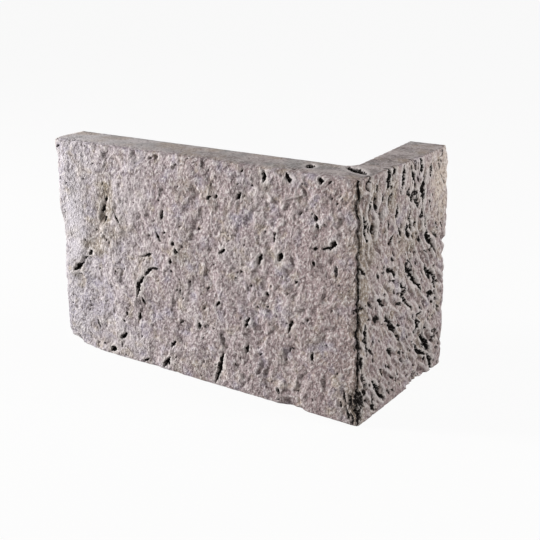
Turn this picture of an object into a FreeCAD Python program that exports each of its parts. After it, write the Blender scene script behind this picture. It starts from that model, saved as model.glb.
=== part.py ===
import FreeCAD
import Part
import math
import os
from collections import namedtuple
from FreeCAD import Vector

# Cast-concrete quoin stone: an L-shaped corner veneer, cast as one piece.
# Two rough rock faces meet at the outer arris. The two beds, the two leg ends and the
# back faces, which are bonded round the corner of a wall, are flat.
#
# Frame: the Z axis is the edge of the wall corner, where the two back planes meet, and Z = 0
# is the lower bed. The long leg runs along -X in front of the wall, and its rock face looks
# along -Y. The short leg runs along +Y, and its rock face looks along +X. Millimetres.

# Driving dimensions
HEIGHT = 200.0
LONG_LEG = 320.0          # outer arris to the end of the long leg
SHORT_LEG = 150.0         # outer arris to the end of the short leg
LONG_THICKNESS = 38.0     # back plane to the proudest points of the long rock face
ROOT_THICKNESS = 28.0     # of the short leg at its root, back plane to the proudest points
END_THICKNESS = 38.0      # of the short leg at its end, where it is stouter
ROOT_RADIUS = 10.0        # fillet in the inside corner

# Broad dished hollows that cover each rock face in staggered rows: the distance of the middle from
# the arris and its height, and the width and depth of the dish
Hollow = namedtuple("Hollow", "along up width depth")
HOLLOW_PITCH = 66.0
HOLLOW_WIDTH = 84.0
HOLLOW_DEPTH = 2.6
HOLLOW_UNEVENNESS = 0.35  # sizes vary by up to this share
GOLDEN_SHARE = 0.618      # step that spreads the sizes in a row unevenly

# Flakes split off a rock face, each a round gouge: the middle of the scarp at its deep end as the
# distance from the arris and the height, the heading in degrees in which the gouge runs out, turned
# from the leg's direction towards the top, then its length, and the width and depth of its scarp
Flake = namedtuple("Flake", "along up heading length width depth")

# Small flakes along every edge of a rock face, deepest at the edge
EDGE_FLAKE_PITCH = 44.0
EDGE_FLAKE_LENGTH = 15.0
EDGE_FLAKE_WIDTH = 34.0
EDGE_FLAKE_DEPTH = 1.0
EDGE_UNEVENNESS = 0.6

# Scars of single flakes within the rock faces
LONG_FACE_SCARS = (
    Flake(221.0, 83.0, 215.0, 46.0, 40.0, 2.4),
    Flake(295.0, 88.0, 222.0, 50.0, 42.0, 2.6),
    Flake(266.0, 139.0, 200.0, 44.0, 36.0, 2.4),
    Flake(184.0, 119.0, 185.0, 36.0, 26.0, 1.8),
    Flake(157.0, 52.0, 205.0, 24.0, 22.0, 1.9),
    Flake(137.0, 76.0, 215.0, 26.0, 20.0, 1.8),
    Flake(105.0, 67.0, 195.0, 24.0, 20.0, 1.7),
    Flake(140.0, 168.0, 230.0, 30.0, 28.0, 1.7),
    Flake(94.0, 123.0, 190.0, 24.0, 18.0, 1.6),
    Flake(30.0, 144.0, 250.0, 24.0, 24.0, 2.0),
    Flake(250.0, 23.0, 215.0, 24.0, 18.0, 2.0),
    Flake(138.0, 17.0, 190.0, 28.0, 26.0, 1.7),
)
SHORT_FACE_SCARS = (
    Flake(93.0, 98.0, 232.0, 34.0, 26.0, 2.0),
    Flake(76.0, 89.0, 222.0, 30.0, 24.0, 1.8),
    Flake(54.0, 69.0, 218.0, 32.0, 24.0, 1.8),
    Flake(124.0, 122.0, 228.0, 28.0, 24.0, 1.8),
    Flake(33.0, 18.0, 40.0, 28.0, 22.0, 1.7),
    Flake(107.0, 28.0, 55.0, 24.0, 22.0, 2.0),
)

# Shoulder worn along the top of the long rock face, a gouge as broad as the face
LONG_FACE_SHOULDER = Flake(185.0, HEIGHT, 270.0, 18.0, 230.0, 6.5)

# Fissures open on each face: distance from the arris, height, length, width, depth, and the
# lean of the long axis in degrees, turned from the leg's direction towards the top
Fissure = namedtuple("Fissure", "along up length width depth lean")
LONG_FACE_FISSURES = (
    Fissure(138.0, 16.5, 27.0, 3.6, 6.0, 109.0),
    Fissure(225.5, 78.0, 22.0, 4.0, 6.0, 117.0),
    Fissure(205.0, 94.5, 16.0, 2.6, 5.0, 8.0),
    Fissure(249.5, 22.5, 12.0, 4.4, 6.0, 136.0),
    Fissure(266.5, 138.0, 17.0, 3.2, 5.0, 129.0),
    Fissure(292.0, 89.5, 20.0, 3.6, 5.0, 133.0),
    Fissure(197.0, 8.5, 13.0, 4.2, 6.0, 124.0),
    Fissure(27.0, 145.5, 15.0, 3.6, 5.0, 157.0),
    Fissure(73.0, 129.0, 7.0, 4.0, 5.0, 117.0),
    Fissure(264.0, 4.0, 11.0, 5.0, 6.0, 140.0),
    Fissure(6.5, 19.0, 22.0, 5.0, 3.0, 84.0),
    Fissure(302.0, 80.0, 14.0, 4.2, 5.0, 141.0),
    Fissure(183.0, 118.0, 13.0, 3.8, 5.0, 68.0),
    Fissure(195.0, 145.5, 10.0, 3.2, 5.0, 106.0),
    Fissure(202.0, 124.0, 9.0, 2.6, 4.0, 56.0),
    Fissure(131.0, 124.0, 10.0, 3.0, 5.0, 146.0),
    Fissure(88.5, 192.5, 11.0, 3.4, 6.0, 96.0),
    Fissure(65.5, 194.0, 10.0, 3.4, 6.0, 67.0),
    Fissure(113.0, 173.0, 9.0, 3.0, 5.0, 124.0),
    Fissure(39.5, 162.5, 12.0, 3.4, 5.0, 72.0),
    Fissure(78.5, 144.5, 10.0, 3.0, 5.0, 98.0),
    Fissure(93.0, 123.5, 12.0, 3.0, 5.0, 114.0),
    Fissure(113.0, 109.0, 5.0, 3.2, 4.0, 100.0),
    Fissure(118.0, 103.0, 5.0, 3.2, 4.0, 100.0),
    Fissure(87.0, 94.5, 6.0, 3.0, 4.0, 90.0),
    Fissure(137.0, 76.5, 9.0, 3.0, 5.0, 129.0),
    Fissure(157.5, 52.5, 8.0, 3.4, 5.0, 101.0),
    Fissure(106.5, 66.0, 11.0, 3.2, 5.0, 110.0),
    Fissure(108.0, 41.5, 10.0, 2.8, 5.0, 106.0),
    Fissure(42.5, 51.0, 9.0, 2.8, 5.0, 99.0),
    Fissure(63.5, 72.0, 13.0, 2.8, 5.0, 107.0),
    Fissure(62.0, 53.0, 5.0, 3.0, 4.0, 90.0),
    Fissure(247.0, 37.0, 5.0, 3.0, 4.0, 90.0),
    Fissure(281.0, 27.0, 9.0, 2.6, 4.0, 72.0),
    Fissure(228.5, 45.0, 9.0, 2.8, 4.0, 99.0),
    Fissure(189.0, 27.5, 9.0, 2.8, 5.0, 129.0),
    Fissure(76.5, 11.5, 8.0, 2.8, 4.0, 79.0),
)
SHORT_FACE_FISSURES = (
    Fissure(67.0, 188.0, 12.0, 5.4, 6.0, 80.0),
    Fissure(47.0, 196.5, 12.0, 5.0, 6.0, 8.0),
    Fissure(104.5, 173.0, 14.0, 4.0, 5.0, 86.0),
    Fissure(76.0, 144.0, 8.0, 4.4, 5.0, 130.0),
    Fissure(124.5, 122.0, 17.0, 3.8, 5.0, 138.0),
    Fissure(87.0, 112.0, 7.0, 5.0, 5.0, 60.0),
    Fissure(93.0, 98.0, 14.0, 4.6, 6.0, 141.0),
    Fissure(76.5, 88.5, 19.0, 3.4, 5.0, 126.0),
    Fissure(132.0, 85.0, 9.0, 5.0, 5.0, 128.0),
    Fissure(11.0, 70.5, 16.0, 3.6, 5.0, 100.0),
    Fissure(54.0, 68.0, 20.0, 3.4, 5.0, 127.0),
    Fissure(101.0, 52.0, 13.0, 5.4, 6.0, 64.0),
    Fissure(119.0, 37.0, 14.0, 5.2, 6.0, 100.0),
    Fissure(128.0, 8.5, 13.0, 4.8, 6.0, 112.0),
    Fissure(33.5, 17.5, 18.0, 3.4, 5.0, 135.0),
    Fissure(84.0, 187.0, 9.0, 4.2, 5.0, 135.0),
    Fissure(98.0, 192.0, 11.0, 3.8, 6.0, 104.0),
    Fissure(115.5, 185.5, 10.0, 3.6, 5.0, 82.0),
    Fissure(97.5, 173.5, 7.0, 3.0, 4.0, 79.0),
    Fissure(85.5, 170.0, 8.0, 3.2, 4.0, 99.0),
    Fissure(93.0, 163.0, 9.0, 3.6, 5.0, 108.0),
    Fissure(58.0, 163.0, 9.0, 3.4, 5.0, 90.0),
    Fissure(8.0, 163.0, 18.0, 3.6, 4.0, 104.0),
    Fissure(33.0, 165.0, 9.0, 3.4, 5.0, 90.0),
    Fissure(103.5, 152.0, 9.0, 3.4, 5.0, 99.0),
    Fissure(83.5, 145.0, 7.0, 4.2, 5.0, 104.0),
    Fissure(115.0, 137.0, 14.0, 3.6, 5.0, 111.0),
    Fissure(47.5, 117.5, 8.0, 3.2, 4.0, 149.0),
    Fissure(122.5, 95.0, 12.0, 3.4, 4.0, 146.0),
    Fissure(134.0, 66.5, 9.0, 3.4, 4.0, 90.0),
    Fissure(125.0, 74.5, 8.0, 3.2, 4.0, 153.0),
    Fissure(106.0, 85.0, 9.0, 3.2, 4.0, 124.0),
    Fissure(36.0, 93.5, 14.0, 3.2, 4.0, 145.0),
    Fissure(6.8, 53.5, 9.0, 3.6, 4.0, 98.0),
    Fissure(53.5, 45.0, 11.0, 3.6, 5.0, 139.0),
    Fissure(108.0, 28.0, 18.0, 3.2, 4.0, 139.0),
    Fissure(12.0, 25.5, 11.0, 4.0, 3.0, 77.0),
)

# Fissures open in the upper bed: place from the wall edge along X and Y, then as above with the
# lean turned from +X towards +Y. The first splits the mitre of the two legs.
UPPER_BED_FISSURES = (
    Fissure(5.0, -9.5, 27.0, 5.2, 12.0, -39.0),
    Fissure(-27.5, -19.5, 20.0, 3.8, 7.0, -50.0),
)
MOUTH_CLEARANCE = 1.0     # cuts start this far outside the face that they open through

# Moulded crease that runs down the outer arris
CREASE_WIDTH = 3.4        # across its mouth
CREASE_DEPTH = 3.6        # below each rock face's plane

# Corners knocked off the leg ends: sizes along the leg, along the height and into the leg
Chip = namedtuple("Chip", "along rise into")
LONG_END_TOP_CHIP = Chip(14.0, 3.0, 8.0)
LONG_END_FOOT_CHIP = Chip(18.0, 6.0, 12.0)
SHORT_END_TOP_CHIP = Chip(14.0, 10.0, 9.0)
SHORT_END_FOOT_CHIP = Chip(9.0, 8.0, 7.0)

ARRIS = Vector(ROOT_THICKNESS, -LONG_THICKNESS, 0)
LONG_END_X = ARRIS.x - LONG_LEG
SHORT_END_Y = ARRIS.y + SHORT_LEG
TAPER = END_THICKNESS - ROOT_THICKNESS
UP = Vector(0, 0, 1)

# A face of the stone: its corner, the directions along it, up it and into the stone, and its size
Face = namedtuple("Face", "corner along up inward length rise")
LONG_FACE = Face(ARRIS, Vector(-1, 0, 0), UP, Vector(0, 1, 0), LONG_LEG, HEIGHT)
SHORT_FACE = Face(ARRIS, Vector(0, 1, 0), UP, Vector(-1, 0, 0), SHORT_LEG, HEIGHT)
UPPER_BED = Face(
    UP * HEIGHT, Vector(1, 0, 0), Vector(0, 1, 0), Vector(0, 0, -1), LONG_LEG, SHORT_LEG
)


def place(face, along, up, depth=0.0):
    """Point at a distance along a face and up it, and at a depth into the stone."""
    return face.corner + face.along * along + face.up * up + face.inward * depth


def blank():
    """The plain L: flat on every side, its short leg tapered, with a fillet in the inside corner."""
    long_end_back = Vector(LONG_END_X, 0, 0)
    long_end_face = Vector(LONG_END_X, ARRIS.y, 0)
    short_end_face = Vector(ARRIS.x, SHORT_END_Y, 0)
    short_end_back = Vector(-TAPER, SHORT_END_Y, 0)
    root_angle = math.atan2(SHORT_END_Y, TAPER)
    root_run = ROOT_RADIUS / math.tan(root_angle / 2)
    root_centre = Vector(-root_run, ROOT_RADIUS, 0)
    root_start = Vector(-root_run, 0, 0)
    root_middle = root_centre * (1 - ROOT_RADIUS / root_centre.Length)
    root_end = Vector(-math.cos(root_angle), math.sin(root_angle), 0) * root_run
    outline = Part.Wire([
        Part.Arc(root_start, root_middle, root_end).toShape(),
        Part.makeLine(root_end, short_end_back),
        Part.makeLine(short_end_back, short_end_face),
        Part.makeLine(short_end_face, ARRIS),
        Part.makeLine(ARRIS, long_end_face),
        Part.makeLine(long_end_face, long_end_back),
        Part.makeLine(long_end_back, root_start),
    ])
    return Part.Face(outline).extrude(UP * HEIGHT)


def dish_radius(width, depth):
    """Radius of the round whose chord and sagitta are a width and a depth."""
    return (width / 2) ** 2 / (2 * depth) + depth / 2


def hollow_depth(hollow, along, up):
    """Depth of one hollow below the face's plane at a place on the face, or zero beside it."""
    distance = math.hypot(along - hollow.along, up - hollow.up)
    return max(0.0, hollow.depth - distance ** 2 / (2 * dish_radius(hollow.width, hollow.depth)))


def gouge_depth(flake, along, up):
    """Depth of one gouge below the face's plane at a place on the face, or zero beside it."""
    turn = math.radians(flake.heading)
    forward = (along - flake.along) * math.cos(turn) + (up - flake.up) * math.sin(turn)
    sideways = (up - flake.up) * math.cos(turn) - (along - flake.along) * math.sin(turn)
    if not 0 <= forward <= flake.length:
        return 0.0
    floor = flake.depth * (1 - forward / flake.length)
    return max(0.0, floor - sideways ** 2 / (2 * dish_radius(flake.width, flake.depth)))


def ground_depth(hollows, flakes, along, up):
    """Depth of a rock face below its plane, with its hollows and with the flakes off."""
    depths = [hollow_depth(hollow, along, up) for hollow in hollows]
    depths += [gouge_depth(flake, along, up) for flake in flakes]
    return max(depths)


def sunk(flake, ground):
    """The same gouge, sunk so that it bites into ground that already lies below the plane."""
    growth = 1 + ground / flake.depth
    return flake._replace(
        length=flake.length * growth,
        width=flake.width * math.sqrt(growth),
        depth=flake.depth * growth,
    )


def uneven(i, share):
    """Size of the i-th of a row against the row's own, one plus or minus up to a share."""
    return 1 + share * (2 * (i * GOLDEN_SHARE % 1) - 1)


def broad_hollows(face):
    """Staggered rows of dished hollows, uneven in size."""
    columns = max(1, round(face.length / HOLLOW_PITCH))
    rows = max(1, round(face.rise / HOLLOW_PITCH))
    hollows = []
    for i in range(columns * rows):
        column = i % columns
        row = i // columns
        vary = uneven(i, HOLLOW_UNEVENNESS)
        hollows.append(Hollow(
            face.length * (column + 0.25 + 0.25 * (row % 2)) / columns,
            face.rise * (row + 0.5 * vary) / rows,
            HOLLOW_WIDTH * vary,
            HOLLOW_DEPTH * vary,
        ))
    return hollows


def edge_flakes(face):
    """Small flakes along the foot, the top, the arris and the end, heading into the face."""
    edges = (
        (90.0, face.length, lambda station: (station, 0.0)),
        (270.0, face.length, lambda station: (station, face.rise)),
        (0.0, face.rise, lambda station: (0.0, station)),
        (180.0, face.rise, lambda station: (face.length, station)),
    )
    flakes = []
    for heading, edge_length, on_edge in edges:
        count = max(1, round(edge_length / EDGE_FLAKE_PITCH))
        for i in range(count):
            vary = uneven(i + len(flakes), EDGE_UNEVENNESS)
            flakes.append(Flake(
                *on_edge(edge_length * (i + 0.5 * vary) / count),
                heading,
                EDGE_FLAKE_LENGTH * vary,
                EDGE_FLAKE_WIDTH * vary,
                EDGE_FLAKE_DEPTH * vary,
            ))
    return flakes


def rock_flakes(face, hollows, scars):
    """The scars and edge flakes of a rock face, each sunk into the ground that it splits from."""
    flakes = []
    for flake in [*scars, *edge_flakes(face)]:
        flakes.append(sunk(flake, ground_depth(hollows, flakes, flake.along, flake.up)))
    return flakes


def hollow_cutter(face, hollow):
    """A ball that lies in the dish."""
    radius = dish_radius(hollow.width, hollow.depth)
    return Part.makeSphere(radius, place(face, hollow.along, hollow.up, hollow.depth - radius))


def flake_cutter(face, flake):
    """A cylinder that lies on the gouge's floor: its flat end stands on the scarp."""
    radius = dish_radius(flake.width, flake.depth)
    tilt = math.atan2(flake.depth, flake.length)
    turn = math.radians(flake.heading)
    heading = face.along * math.cos(turn) + face.up * math.sin(turn)
    axis = heading * math.cos(tilt) - face.inward * math.sin(tilt)
    out_of_gouge = face.inward * -math.cos(tilt) - heading * math.sin(tilt)
    foot = place(face, flake.along, flake.up, flake.depth)
    return Part.makeCylinder(radius, flake.length, foot + out_of_gouge * radius, axis)


def fissure_cutter(face, fissure, ground):
    """Pocket with a pointed oval mouth of two arcs, as deep below the ground as the fissure is."""
    turn = math.radians(fissure.lean)

    def point(forward, sideways):
        along = fissure.along + forward * math.cos(turn) - sideways * math.sin(turn)
        up = fissure.up + forward * math.sin(turn) + sideways * math.cos(turn)
        return place(face, along, up, -MOUTH_CLEARANCE)

    tip = point(fissure.length / 2, 0)
    tail = point(-fissure.length / 2, 0)
    mouth = Part.Wire([
        Part.Arc(tip, point(0, fissure.width / 2), tail).toShape(),
        Part.Arc(tail, point(0, -fissure.width / 2), tip).toShape(),
    ])
    return Part.Face(mouth).extrude(face.inward * (MOUTH_CLEARANCE + ground + fissure.depth))


def crease_cutter():
    """V-groove down the outer arris, with its bottom on the bisector of the two faces."""
    outward = Vector(1, -1, 0).normalize()
    across = Vector(1, 1, 0).normalize()
    bottom = ARRIS + Vector(-CREASE_DEPTH, CREASE_DEPTH, 0)
    depth_on_bisector = CREASE_DEPTH * math.sqrt(2)
    mouth_distance = depth_on_bisector + MOUTH_CLEARANCE
    half_mouth = CREASE_WIDTH / 2 * mouth_distance / depth_on_bisector
    mouth = bottom + outward * mouth_distance
    section = Part.makePolygon([
        bottom, mouth + across * half_mouth, mouth - across * half_mouth, bottom
    ])
    return Part.Face(section).extrude(UP * HEIGHT)


def chip_cutter(face, at_top, chip):
    """Wedge over the far corner of a rock face: it leaves a flat break across three edges."""
    corner_up = face.rise if at_top else 0.0
    towards_middle = -1 if at_top else 1

    def point(along_share, rise_share, into_share):
        return place(
            face,
            face.length - chip.along * along_share,
            corner_up + towards_middle * chip.rise * rise_share,
            chip.into * into_share,
        )

    # the break passes through shares that add up to one, and the wedge's apex is off the stone
    apex = point(-1, -1, -1)
    legs = [point(3, -1, -1), point(-1, 3, -1), point(-1, -1, 3)]
    sides = [Part.Face(Part.makePolygon([*legs, legs[0]]))]
    for first, second in zip(legs, legs[1:] + legs[:1]):
        sides.append(Part.Face(Part.makePolygon([apex, first, second, apex])))
    wedge = Part.Solid(Part.Shell(sides))
    if wedge.Volume < 0:
        wedge.reverse()
    return wedge


def quoin_stone():
    stone = blank()
    for face, scars, fissures in (
        (LONG_FACE, LONG_FACE_SCARS, LONG_FACE_FISSURES),
        (SHORT_FACE, SHORT_FACE_SCARS, SHORT_FACE_FISSURES),
    ):
        hollows = broad_hollows(face)
        flakes = rock_flakes(face, hollows, scars)
        for hollow in hollows:
            stone = stone.cut(hollow_cutter(face, hollow))
        for flake in flakes:
            stone = stone.cut(flake_cutter(face, flake))
        for fissure in fissures:
            ground = ground_depth(hollows, flakes, fissure.along, fissure.up)
            stone = stone.cut(fissure_cutter(face, fissure, ground))
    stone = stone.cut(flake_cutter(LONG_FACE, LONG_FACE_SHOULDER))
    stone = stone.cut([fissure_cutter(UPPER_BED, fissure, 0.0) for fissure in UPPER_BED_FISSURES])
    stone = stone.cut([
        chip_cutter(LONG_FACE, True, LONG_END_TOP_CHIP),
        chip_cutter(LONG_FACE, False, LONG_END_FOOT_CHIP),
        chip_cutter(SHORT_FACE, True, SHORT_END_TOP_CHIP),
        chip_cutter(SHORT_FACE, False, SHORT_END_FOOT_CHIP),
    ])
    return stone.cut(crease_cutter()).Solids[0]


def main():
    os.makedirs("parts", exist_ok=True)
    stone = quoin_stone()
    stone.exportStep("parts/quoin_stone.step")
    box = stone.optimalBoundingBox(False, False)
    print("solids", len(stone.Solids), "valid" if stone.isValid() else "not valid")
    print("size", round(box.XLength, 2), round(box.YLength, 2), round(box.ZLength, 2))
    print("volume in litres", round(stone.Volume / 1e6, 4))


main()
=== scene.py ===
import math

import bmesh
import bpy
import numpy as np
from mathutils import Matrix, Vector
from mathutils.bvhtree import BVHTree


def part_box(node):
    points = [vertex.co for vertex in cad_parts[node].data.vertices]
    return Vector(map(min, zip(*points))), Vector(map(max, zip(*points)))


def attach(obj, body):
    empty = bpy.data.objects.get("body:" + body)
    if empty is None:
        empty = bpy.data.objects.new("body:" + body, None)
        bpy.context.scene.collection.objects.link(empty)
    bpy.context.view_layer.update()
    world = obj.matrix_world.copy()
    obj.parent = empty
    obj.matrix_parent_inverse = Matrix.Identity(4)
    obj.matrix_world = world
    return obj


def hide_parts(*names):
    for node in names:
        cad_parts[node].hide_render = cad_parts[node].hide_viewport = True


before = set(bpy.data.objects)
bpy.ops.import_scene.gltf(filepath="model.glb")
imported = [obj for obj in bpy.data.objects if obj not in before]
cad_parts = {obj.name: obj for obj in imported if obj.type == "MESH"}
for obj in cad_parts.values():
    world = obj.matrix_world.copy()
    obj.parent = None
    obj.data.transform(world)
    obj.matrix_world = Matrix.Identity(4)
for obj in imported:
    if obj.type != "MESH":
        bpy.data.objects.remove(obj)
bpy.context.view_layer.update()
mm = 0.001
print("frame loaded")

# The relief is worked out in millimetres, as depths below the plane of each side of the stone.

low, high = (np.array(corner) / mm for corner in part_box("quoin_stone"))
longLeg, shortLeg, height = high - low

quoin = {
    "pointSpacing": 0.8,   # of the blank's mesh, before its relief is pressed in
    "mapSpacing": 0.5,     # of the relief maps
    "taper": 10.0,         # the short leg is stouter at its end than at its root by this
    "rootRadius": 10.0,    # fillet in the inside corner
    "rootSteps": 12,       # flats round that fillet
    "reliefReach": 16.0,   # depth below a side at which its relief no longer moves the stone
    "pastEnds": 1.0,       # a side's relief also takes points this far past its two ends
    "offPlane": 0.3,       # and this far outside its plane
    "skin": 0.5,           # a side gives its colours to points down to this depth
    "triangles": 192000,
}
markNames = ("shadeInHoles", "reliefShading", "grimeAndShade", "cream", "litPatch", "rock")  # what a point says of its colour, with painted shade and highlight among it


def stoneSide(corner, along, up, inward, length, rise):
    return {
        "corner": np.array(corner, float), "along": np.array(along, float), "up": np.array(up, float),
        "inward": np.array(inward, float), "length": length, "rise": rise,
    }


arrisFoot = (high[0], low[1], low[2])
wallCorner = (0, 0, low[2])
shortEndFoot = np.array((-quoin["taper"], high[1], low[2]))
backLength = math.hypot(*shortEndFoot[:2])
backX, backY = shortEndFoot[:2] / backLength
upward = (0, 0, 1)
sides = {
    "longFace": stoneSide(arrisFoot, (-1, 0, 0), upward, (0, 1, 0), longLeg, height),
    "shortFace": stoneSide(arrisFoot, (0, 1, 0), upward, (-1, 0, 0), shortLeg, height),
    "upperBed": stoneSide((low[0], low[1], high[2]), (1, 0, 0), (0, 1, 0), (0, 0, -1), longLeg, shortLeg),
    "lowerBed": stoneSide(low, (1, 0, 0), (0, 1, 0), upward, longLeg, shortLeg),
    "longEnd": stoneSide(low, (0, 1, 0), upward, (1, 0, 0), -low[1], height),
    "shortEnd": stoneSide(shortEndFoot, (1, 0, 0), upward, (0, -1, 0), high[0] + quoin["taper"], height),
    "longBack": stoneSide((low[0], 0, low[2]), (1, 0, 0), upward, (0, -1, 0), -low[0], height),
    "shortBack": stoneSide(wallCorner, (backX, backY, 0), upward, (backY, -backX, 0), backLength, height),
}


def mapGrid(side):
    step = quoin["mapSpacing"]
    return np.meshgrid(np.arange(0, side["length"] + step, step), np.arange(0, side["rise"] + step, step))


def readMap(depths, along, up):
    # the map's value between its grid points, or at its edge for a place beyond it
    step = quoin["mapSpacing"]
    rows, columns = depths.shape
    lastCell = 1.001  # a hair more than one, so that there is always a next grid point
    x = np.clip(along / step, 0, columns - lastCell)
    y = np.clip(up / step, 0, rows - lastCell)
    i, j = x.astype(int), y.astype(int)
    fx, fy = x - i, y - j
    lower = depths[j, i] * (1 - fx) + depths[j, i + 1] * fx
    upper = depths[j + 1, i] * (1 - fx) + depths[j + 1, i + 1] * fx
    return lower * (1 - fy) + upper * fy


noise = {
    "cells": 128,       # before a pattern repeats
    "lumpGain": 1.5,    # brings lumps to about -1 to 1
    "facetJitter": 0.45, "facetLevel": 0.4, "facetTilt": 0.8,
}


def lumps(along, up, size, seed):
    # gradient noise, about -1 to 1, with lumps of a given size
    cells = noise["cells"]
    angles = np.random.default_rng(seed).uniform(0, 2 * np.pi, (cells, cells))
    x, y = along / size, up / size
    i, j = np.floor(x).astype(int), np.floor(y).astype(int)
    fx, fy = x - i, y - j

    def slope(di, dj):
        angle = angles[(j + dj) % cells, (i + di) % cells]
        return np.cos(angle) * (fx - di) + np.sin(angle) * (fy - dj)

    sx, sy = fx * fx * (3 - 2 * fx), fy * fy * (3 - 2 * fy)
    lower = slope(0, 0) * (1 - sx) + slope(1, 0) * sx
    upper = slope(0, 1) * (1 - sx) + slope(1, 1) * sx
    return noise["lumpGain"] * (lower * (1 - sy) + upper * sy)


def layered(along, up, layers, seed, start=0):
    # lumps of several sizes, each with its depth, laid over a start
    total = start
    for k, (size, depth) in enumerate(layers):
        total = total + depth * lumps(along, up, size, seed + k)
    return total


def facets(along, up, size, seed):
    # broken ground, about -1 to 1: each facet lies at a tilt and a level of its own
    cells, jitter = noise["cells"], noise["facetJitter"]
    rng = np.random.default_rng(seed)
    jitterX, jitterY, tiltX, tiltY, level = rng.uniform(-1, 1, (5, cells, cells))
    i, j = np.floor(along / size).astype(int), np.floor(up / size).astype(int)
    nearest = np.full(along.shape, np.inf)
    ground = np.zeros(along.shape)
    for di in (-1, 0, 1):
        for dj in (-1, 0, 1):
            row, column = (j + dj) % cells, (i + di) % cells
            dx = along / size - (i + di + 0.5 + jitter * jitterX[row, column])
            dy = up / size - (j + dj + 0.5 + jitter * jitterY[row, column])
            distance = dx * dx + dy * dy
            tilt = dx * tiltX[row, column] + dy * tiltY[row, column]
            facet = noise["facetLevel"] * level[row, column] + noise["facetTilt"] * tilt
            ground = np.where(distance < nearest, facet, ground)
            nearest = np.minimum(distance, nearest)
    return ground


def blurred(depths, size):
    # soft average over about a given size
    reach = max(1, round(size / quoin["mapSpacing"]))
    tail = 2 * reach
    weights = np.exp(-0.5 * (np.arange(-tail, tail + 1) / reach) ** 2)
    weights /= weights.sum()
    for axis in (0, 1):
        padding = [(tail, tail) if axis == k else (0, 0) for k in (0, 1)]
        padded = np.pad(depths, padding, mode="edge")
        depths = np.apply_along_axis(np.convolve, axis, padded, weights, "valid")
    return depths


def withoutPits(depths, size):
    # the same ground with pits narrower than a given size filled
    reach = round(size / 2 / quoin["mapSpacing"])
    for pick in (np.min, np.max):
        for axis in (0, 1):
            padding = [(reach, reach) if axis == k else (0, 0) for k in (0, 1)]
            padded = np.pad(depths, padding, mode="edge")
            depths = pick(np.lib.stride_tricks.sliding_window_view(padded, 2 * reach + 1, axis), axis=-1)
    return depths


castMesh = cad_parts["quoin_stone"].data
castPoints = [v.co for v in castMesh.vertices]
castTree = BVHTree.FromPolygons(castPoints, [tuple(p.vertices) for p in castMesh.polygons])
probe = {
    "every": 2,        # grid points from one probed place to the next
    "margin": 0.3,     # from the edges of a side
    "standOff": 1.0,   # outside a side's plane
    "deepest": 20.0,
}


def castDepths(side, along, up):
    # depth of the solid below a side's plane, probed on a coarser grid and filled in between
    every, margin, standOff = probe["every"], probe["margin"], probe["standOff"]
    coarseAlong, coarseUp = along[::every, ::every], up[::every, ::every]
    depths = np.zeros(coarseAlong.shape)
    direction = Vector(side["inward"])
    for place in np.ndindex(depths.shape):
        a = np.clip(coarseAlong[place], margin, side["length"] - margin)
        u = np.clip(coarseUp[place], margin, side["rise"] - margin)
        start = side["corner"] + side["along"] * a + side["up"] * u - side["inward"] * standOff
        hit = castTree.ray_cast(Vector(start) * mm, direction, (probe["deepest"] + standOff) * mm)[3]
        depths[place] = hit / mm - standOff if hit else 0
    fine = np.repeat(np.repeat(depths, every, 0), every, 1)[:along.shape[0], :along.shape[1]]
    return np.maximum(fine, 0)


crackShape = {
    "ragged": ((2.8, 0.6), (1.5, 0.45)),  # size of a mouth's crumbs, and their share of its half width
    "blunt": 0.3,                         # width of the ends for that of the middle
    "dot": (0.1, 0.4),                    # half span of a crack that is listed with one point
    "margin": 2,                          # round a crack's points, past its width
    "steepness": 2.5,                     # of the walls
}


def crackMap(along, up, cracks, seed, blunt=crackShape["blunt"], rough=1.0):
    # cracks and holes as deep as they are listed, with ragged mouths that narrow towards both ends
    step, margin = quoin["mapSpacing"], crackShape["margin"]
    ragged = rough * layered(along, up, crackShape["ragged"], seed)
    depths = np.zeros(along.shape)
    for width, depth, line in cracks:
        points = np.array(line, float)
        if len(points) == 1:
            points = np.array([points[0] - crackShape["dot"], points[0] + crackShape["dot"]])
        x0, y0 = np.maximum(0, ((points.min(0) - width - margin) / step).astype(int))
        x1, y1 = np.maximum(0, ((points.max(0) + width + margin) / step).astype(int))
        window = (slice(y0, y1), slice(x0, x1))
        x, y = along[window], up[window]
        lengths = np.hypot(*np.diff(points, axis=0).T)
        travelled = np.concatenate([[0], np.cumsum(lengths)]) / lengths.sum()
        profile = np.zeros(x.shape)
        for k, span in enumerate(points[1:] - points[:-1]):
            dx, dy = x - points[k][0], y - points[k][1]
            share = np.clip((dx * span[0] + dy * span[1]) / (span @ span), 0, 1)
            distance = np.hypot(dx - share * span[0], dy - share * span[1])
            place = travelled[k] + share * (travelled[k + 1] - travelled[k])
            half = width / 2 * (blunt + (1 - blunt) * np.sin(np.pi * place))
            wall = (distance / half + ragged[window]).clip(0) ** crackShape["steepness"]
            profile = np.maximum(profile, 1 - wall)
        depths[window] = np.maximum(depths[window], depth * profile)
    return depths


patchShape = {
    "ragged": ((14, 0.6), (5, 0.5)),  # size of the bays in its edge, and their depth for its half width
    "reach": 1.4,                     # where a patch ends, for its half width
}


def patchMap(along, up, patches, seed):
    # soft patches with ragged edges: the middle, and the half width and half height of each
    shares = np.zeros(along.shape)
    ragged = layered(along, up, patchShape["ragged"], seed)
    for a, u, halfWidth, halfHeight in patches:
        distance = np.hypot((along - a) / halfWidth, (up - u) / halfHeight) + ragged
        shares = np.maximum(shares, np.clip(patchShape["reach"] - distance, 0, 1))
    return shares


holeShape = {
    "margin": 2,                    # from the edges of a side
    "shortest": 0.5,                # for the drawn length
    "leastWidth": 1.5,
    "widthShares": (0.28, 0.45),    # of the length
    "shallowest": 0.5,              # for the given depth
}


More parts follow.
